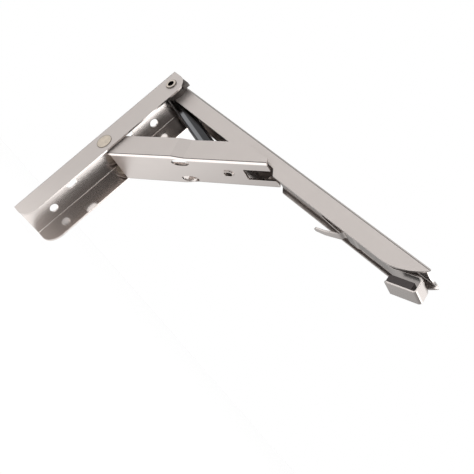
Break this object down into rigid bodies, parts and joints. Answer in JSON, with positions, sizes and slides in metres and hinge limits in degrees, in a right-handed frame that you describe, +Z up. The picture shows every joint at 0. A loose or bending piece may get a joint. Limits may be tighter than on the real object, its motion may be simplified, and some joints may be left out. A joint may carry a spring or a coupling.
{
  "type": "folding shelf bracket",
  "caption": "Folding shelf bracket in bright sheet steel: a wall channel, a hinged shelf arm, a locking strut, an inner link and a sprung release lever with a thumb tab.",
  "frame": {"origin": "middle of the wall channel's top edge, on the wall plane", "axes": "+X out from the wall along the open shelf arm, +Z up, Y across the bracket; positive joint values fold the arm down"},
  "size_m": [0.3012, 0.038, 0.165],
  "materials": {
    "channel_steel": "bright polished stainless sheet",
    "pin_steel": "dull tumbled stainless",
    "rivet_steel": "plain pressed head",
    "dark_plastic": "satin dark brown-black",
    "spring_steel": "plain strip"
  },
  "bodies": {
    "wall": {"wall_channel": "channel_steel", "hinge_pin": "pin_steel", "hinge_bush_near": "dark_plastic", "hinge_bush_far": "dark_plastic", "strut_rivet_near": "rivet_steel", "strut_rivet_far": "rivet_steel", "strut_washer_near": "pin_steel", "strut_washer_far": "pin_steel"},
    "arm": {"shelf_arm": "channel_steel", "lever_saddle": "channel_steel", "lever_pin": "pin_steel", "saddle_rivet_inner": "pin_steel", "saddle_rivet_outer": "pin_steel", "lever_spring": "spring_steel", "spring_rivet": "pin_steel"},
    "strut": {"strut": "channel_steel"},
    "link": {"inner_link": "channel_steel", "link_pin": "pin_steel"},
    "roller": {"link_roller": "pin_steel"},
    "lever": {"release_lever": "channel_steel", "tab_insert": "dark_plastic"}
  },
  "joints": [
    {"name": "arm_hinge", "type": "hinge", "parent": "wall", "child": "arm", "pos_m": [0.0115, 0, -0.01], "axis": [0, 1, 0], "range_deg": [0, 90]},
    {"name": "strut_pivot", "type": "hinge", "parent": "wall", "child": "strut", "pos_m": [0.012, 0, -0.0795], "axis": [0, 1, 0], "range_deg": [0, 120.1]},
    {"name": "link_swing", "type": "hinge", "parent": "wall", "child": "link", "pos_m": [0.0115, 0, -0.01], "axis": [0, 1, 0], "range_deg": [0, 76.8]},
    {"name": "roller_spin", "type": "hinge", "parent": "link", "child": "roller", "pos_m": [0.10531, 0, -0.03165], "axis": [0, 1, 0], "continuous": true},
    {"name": "lever_rock", "type": "hinge", "parent": "arm", "child": "lever", "pos_m": [0.25, 0, -0.009], "axis": [0, 1, 0], "range_deg": [-1.5, 0], "stiffness_Nm_per_rad": 0.5, "springref_deg": 8.59, "deforming": ["lever_spring"]}
  ],
  "couplings": [
    {"joint": "strut_pivot", "follows": "arm_hinge", "ratio": 1.3344},
    {"joint": "link_swing", "follows": "arm_hinge", "ratio": 0.85333}
  ]
}
